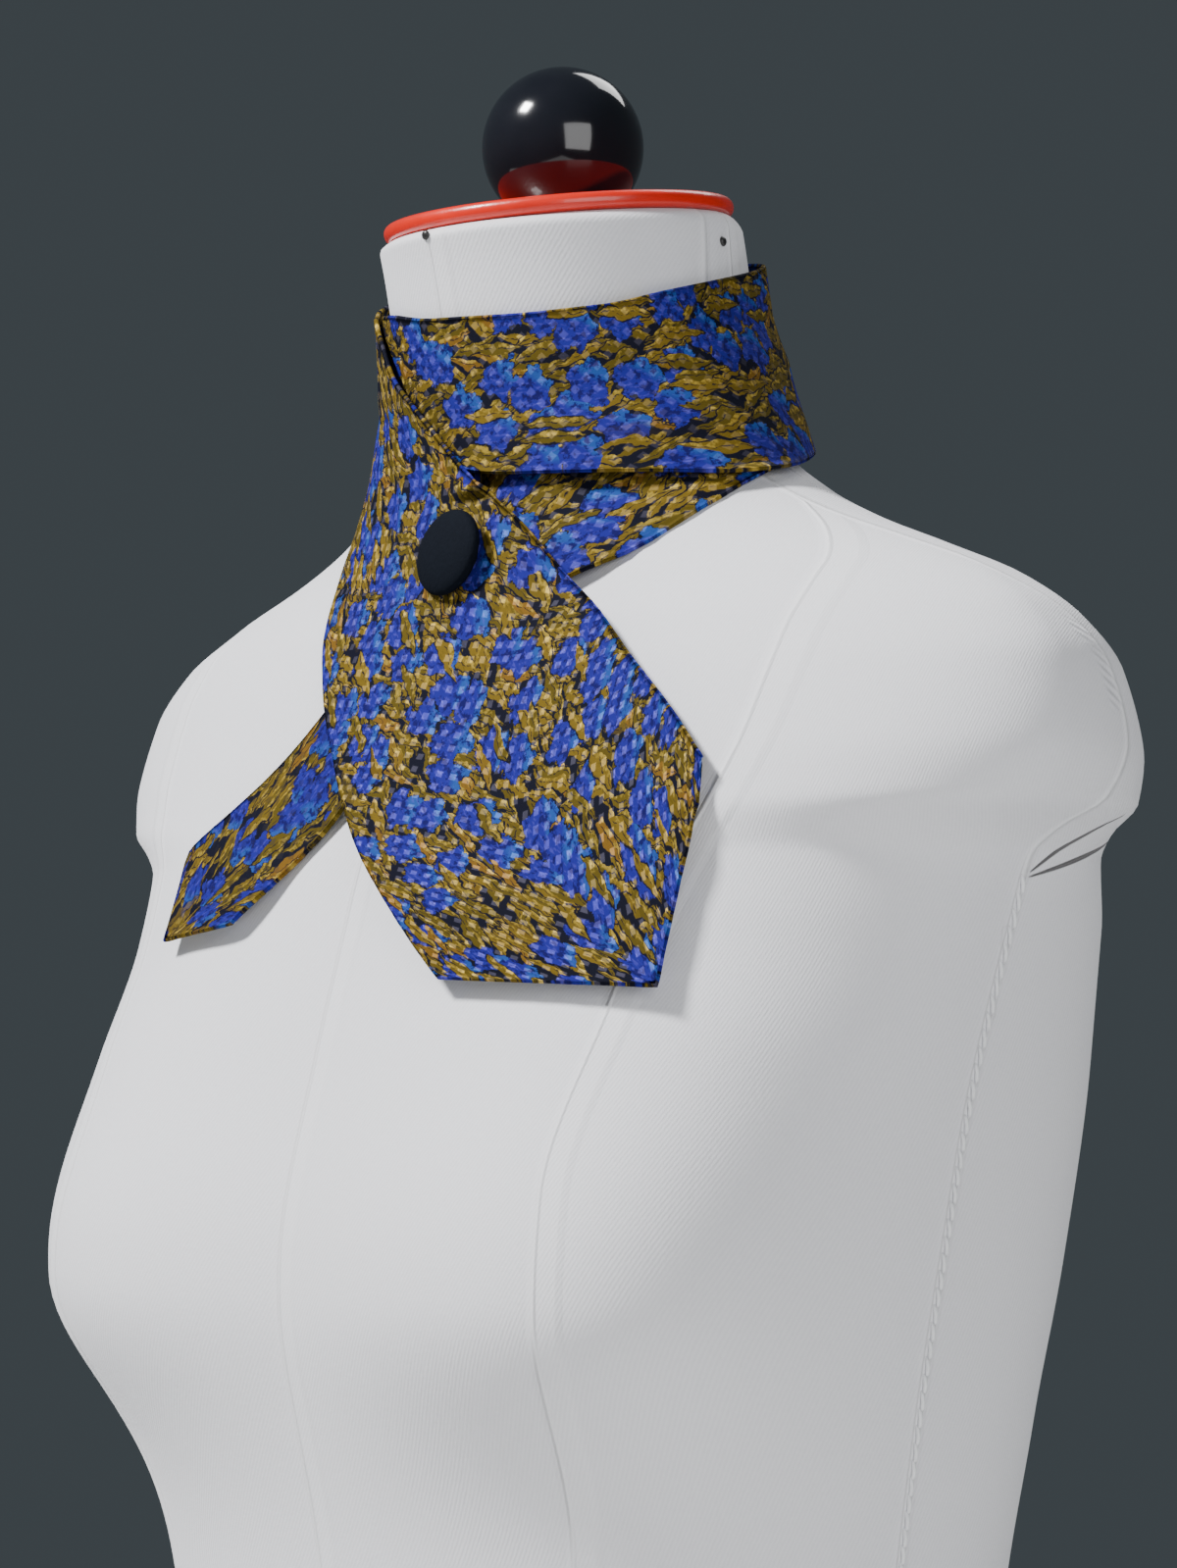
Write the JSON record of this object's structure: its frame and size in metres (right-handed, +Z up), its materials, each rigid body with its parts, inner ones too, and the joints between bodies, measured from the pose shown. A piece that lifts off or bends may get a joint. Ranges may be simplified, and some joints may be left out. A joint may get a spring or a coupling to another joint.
{
  "type": "cravat on a dress form",
  "caption": "Long narrow cravat of printed silk, wound round the neck of a limbless dress form, crossed at the throat and held there by a domed covered button.",
  "frame": {"origin": "middle of the dress form's flat foot, under its neck", "axes": "+Z up; the form faces -Y, and its left side is +X"},
  "size_m": [0.4058, 0.2559, 0.6877],
  "materials": {
    "printed_silk": "satin",
    "button_cloth": "matte",
    "form_cloth": "matte",
    "cap_paint": "gloss",
    "knob_lacquer": "gloss",
    "tack_black": "satin"
  },
  "bodies": {
    "root": {"cravat_tail": "printed_silk", "cravat_lower_wrap": "printed_silk", "cravat_upper_wrap": "printed_silk", "cravat_front_blade": "printed_silk", "cravat_button": "button_cloth", "form_torso": "form_cloth", "form_neck_cap": "cap_paint", "form_knob": "knob_lacquer", "form_tack_front": "tack_black", "form_tack_side": "tack_black"}
  },
  "joints": []
}
